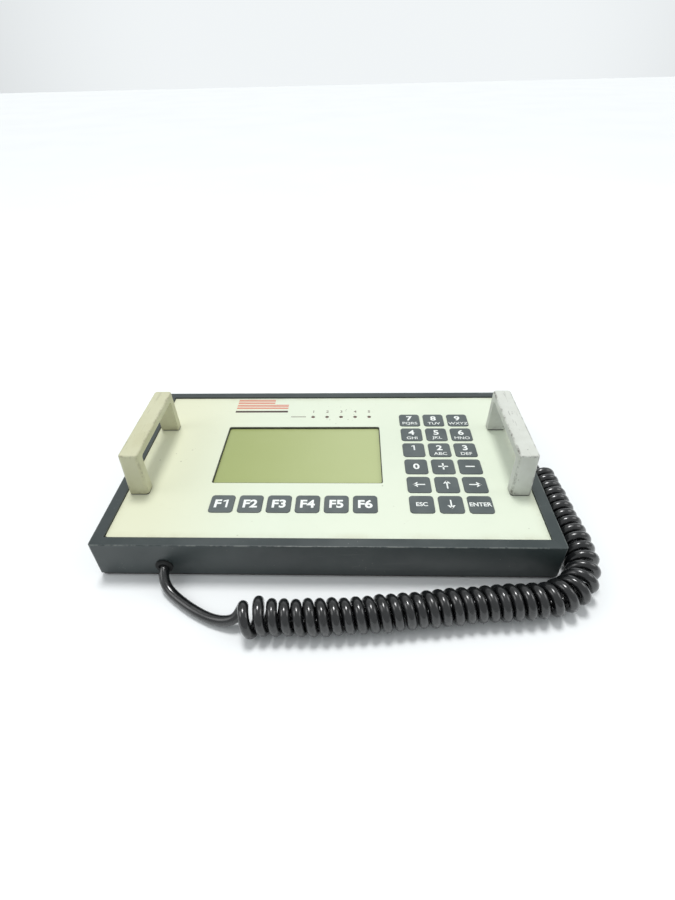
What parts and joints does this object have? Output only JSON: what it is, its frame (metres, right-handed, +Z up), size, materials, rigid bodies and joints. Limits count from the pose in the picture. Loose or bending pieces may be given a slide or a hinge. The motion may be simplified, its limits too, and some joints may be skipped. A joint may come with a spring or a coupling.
{
  "type": "data collector",
  "caption": "Shallow rectangular surveying data collector with a recessed keypad panel, graphic screen, two bow handles and a curly cord ending in a round connector.",
  "frame": {"origin": "on the surface it stands on, below the centre of the bounding box", "axes": "+X to the right across the keypad, +Y from the user towards the back, +Z up out of the panel"},
  "size_m": [0.3, 0.231, 0.058],
  "materials": {
    "anodised_metal": "dark grey-green hard anodised coating, satin",
    "cream_coating": "pale cream coating, satin",
    "dark_base": "dark brown paint, satin",
    "bare_metal": "bare sheet",
    "black_rubber": "matte",
    "screw_steel": "plain",
    "cream_plastic": "cream, satin, worn",
    "clear_window": "clear",
    "lcd_yellow_green": "yellow-green, blank",
    "white_plastic": "white",
    "circuit_board": "green board",
    "light_lens": "dark red lens, unlit",
    "brass_post": "plain",
    "black_plastic": "moulded",
    "cord_sheath": "black, glossy sheath",
    "plated_metal": "satin plated",
    "gold_contact": "plated",
    "function_key": "dark slate, white legend",
    "number_key": "dark slate, white legend"
  },
  "bodies": {
    "case": {"backup_battery": "screw_steel", "board_chips": "black_plastic", "board_posts": "brass_post", "board_screws": "screw_steel", "bottom_cover": "dark_base", "case_frame": "anodised_metal", "cord_clamp": "black_plastic", "cord_coil": "cord_sheath", "cord_grommet": "black_rubber", "cord_header": "black_plastic", "cord_lead": "cord_sheath", "cord_tail": "cord_sheath", "corner_pillars": "bare_metal", "cover_screws": "screw_steel", "front_panel": "cream_coating", "handle_left": "cream_plastic", "handle_right": "cream_plastic", "handle_screws": "screw_steel", "handle_seals": "black_rubber", "keypad_board": "circuit_board", "keypad_mat": "black_rubber", "lcd_backlight": "white_plastic", "lcd_bezel": "bare_metal", "lcd_board": "circuit_board", "lcd_glass": "lcd_yellow_green", "lcd_window": "clear_window", "main_board": "circuit_board", "panel_gasket": "black_rubber", "plug_boot": "black_rubber", "plug_contacts": "gold_contact", "plug_insert": "black_plastic", "plug_shell": "plated_metal", "ribbon_cables": "white_plastic", "rubber_feet": "black_rubber", "status_lights": "light_lens"},
    "key_0": {"key_0": "number_key"},
    "key_1": {"key_1": "number_key"},
    "key_2": {"key_2": "number_key"},
    "key_3": {"key_3": "number_key"},
    "key_4": {"key_4": "number_key"},
    "key_5": {"key_5": "number_key"},
    "key_6": {"key_6": "number_key"},
    "key_7": {"key_7": "number_key"},
    "key_8": {"key_8": "number_key"},
    "key_9": {"key_9": "number_key"},
    "key_down": {"key_down": "number_key"},
    "key_enter": {"key_enter": "number_key"},
    "key_esc": {"key_esc": "number_key"},
    "key_f1": {"key_f1": "function_key"},
    "key_f2": {"key_f2": "function_key"},
    "key_f3": {"key_f3": "function_key"},
    "key_f4": {"key_f4": "function_key"},
    "key_f5": {"key_f5": "function_key"},
    "key_f6": {"key_f6": "function_key"},
    "key_left": {"key_left": "number_key"},
    "key_minus": {"key_minus": "number_key"},
    "key_plus": {"key_plus": "number_key"},
    "key_right": {"key_right": "number_key"},
    "key_up": {"key_up": "number_key"},
    "plug_ring": {"plug_ring": "plated_metal"}
  },
  "joints": [
    {"name": "key_0_press", "type": "slide", "parent": "case", "child": "key_0", "axis": [0, 0, -1], "range_m": [0, 0.0005], "stiffness_N_per_m": 800, "springref_m": -0.001},
    {"name": "key_1_press", "type": "slide", "parent": "case", "child": "key_1", "axis": [0, 0, -1], "range_m": [0, 0.0005], "stiffness_N_per_m": 800, "springref_m": -0.001},
    {"name": "key_2_press", "type": "slide", "parent": "case", "child": "key_2", "axis": [0, 0, -1], "range_m": [0, 0.0005], "stiffness_N_per_m": 800, "springref_m": -0.001},
    {"name": "key_3_press", "type": "slide", "parent": "case", "child": "key_3", "axis": [0, 0, -1], "range_m": [0, 0.0005], "stiffness_N_per_m": 800, "springref_m": -0.001},
    {"name": "key_4_press", "type": "slide", "parent": "case", "child": "key_4", "axis": [0, 0, -1], "range_m": [0, 0.0005], "stiffness_N_per_m": 800, "springref_m": -0.001},
    {"name": "key_5_press", "type": "slide", "parent": "case", "child": "key_5", "axis": [0, 0, -1], "range_m": [0, 0.0005], "stiffness_N_per_m": 800, "springref_m": -0.001},
    {"name": "key_6_press", "type": "slide", "parent": "case", "child": "key_6", "axis": [0, 0, -1], "range_m": [0, 0.0005], "stiffness_N_per_m": 800, "springref_m": -0.001},
    {"name": "key_7_press", "type": "slide", "parent": "case", "child": "key_7", "axis": [0, 0, -1], "range_m": [0, 0.0005], "stiffness_N_per_m": 800, "springref_m": -0.001},
    {"name": "key_8_press", "type": "slide", "parent": "case", "child": "key_8", "axis": [0, 0, -1], "range_m": [0, 0.0005], "stiffness_N_per_m": 800, "springref_m": -0.001},
    {"name": "key_9_press", "type": "slide", "parent": "case", "child": "key_9", "axis": [0, 0, -1], "range_m": [0, 0.0005], "stiffness_N_per_m": 800, "springref_m": -0.001},
    {"name": "key_down_press", "type": "slide", "parent": "case", "child": "key_down", "axis": [0, 0, -1], "range_m": [0, 0.0005], "stiffness_N_per_m": 800, "springref_m": -0.001},
    {"name": "key_enter_press", "type": "slide", "parent": "case", "child": "key_enter", "axis": [0, 0, -1], "range_m": [0, 0.0005], "stiffness_N_per_m": 800, "springref_m": -0.001},
    {"name": "key_esc_press", "type": "slide", "parent": "case", "child": "key_esc", "axis": [0, 0, -1], "range_m": [0, 0.0005], "stiffness_N_per_m": 800, "springref_m": -0.001},
    {"name": "key_f1_press", "type": "slide", "parent": "case", "child": "key_f1", "axis": [0, 0, -1], "range_m": [0, 0.0005], "stiffness_N_per_m": 800, "springref_m": -0.001},
    {"name": "key_f2_press", "type": "slide", "parent": "case", "child": "key_f2", "axis": [0, 0, -1], "range_m": [0, 0.0005], "stiffness_N_per_m": 800, "springref_m": -0.001},
    {"name": "key_f3_press", "type": "slide", "parent": "case", "child": "key_f3", "axis": [0, 0, -1], "range_m": [0, 0.0005], "stiffness_N_per_m": 800, "springref_m": -0.001},
    {"name": "key_f4_press", "type": "slide", "parent": "case", "child": "key_f4", "axis": [0, 0, -1], "range_m": [0, 0.0005], "stiffness_N_per_m": 800, "springref_m": -0.001},
    {"name": "key_f5_press", "type": "slide", "parent": "case", "child": "key_f5", "axis": [0, 0, -1], "range_m": [0, 0.0005], "stiffness_N_per_m": 800, "springref_m": -0.001},
    {"name": "key_f6_press", "type": "slide", "parent": "case", "child": "key_f6", "axis": [0, 0, -1], "range_m": [0, 0.0005], "stiffness_N_per_m": 800, "springref_m": -0.001},
    {"name": "key_left_press", "type": "slide", "parent": "case", "child": "key_left", "axis": [0, 0, -1], "range_m": [0, 0.0005], "stiffness_N_per_m": 800, "springref_m": -0.001},
    {"name": "key_minus_press", "type": "slide", "parent": "case", "child": "key_minus", "axis": [0, 0, -1], "range_m": [0, 0.0005], "stiffness_N_per_m": 800, "springref_m": -0.001},
    {"name": "key_plus_press", "type": "slide", "parent": "case", "child": "key_plus", "axis": [0, 0, -1], "range_m": [0, 0.0005], "stiffness_N_per_m": 800, "springref_m": -0.001},
    {"name": "key_right_press", "type": "slide", "parent": "case", "child": "key_right", "axis": [0, 0, -1], "range_m": [0, 0.0005], "stiffness_N_per_m": 800, "springref_m": -0.001},
    {"name": "key_up_press", "type": "slide", "parent": "case", "child": "key_up", "axis": [0, 0, -1], "range_m": [0, 0.0005], "stiffness_N_per_m": 800, "springref_m": -0.001},
    {"name": "plug_ring_turn", "type": "hinge", "parent": "case", "child": "plug_ring", "pos_m": [0.057, 0.0934, 0.00805], "axis": [1, 0, 0], "continuous": true}
  ]
}
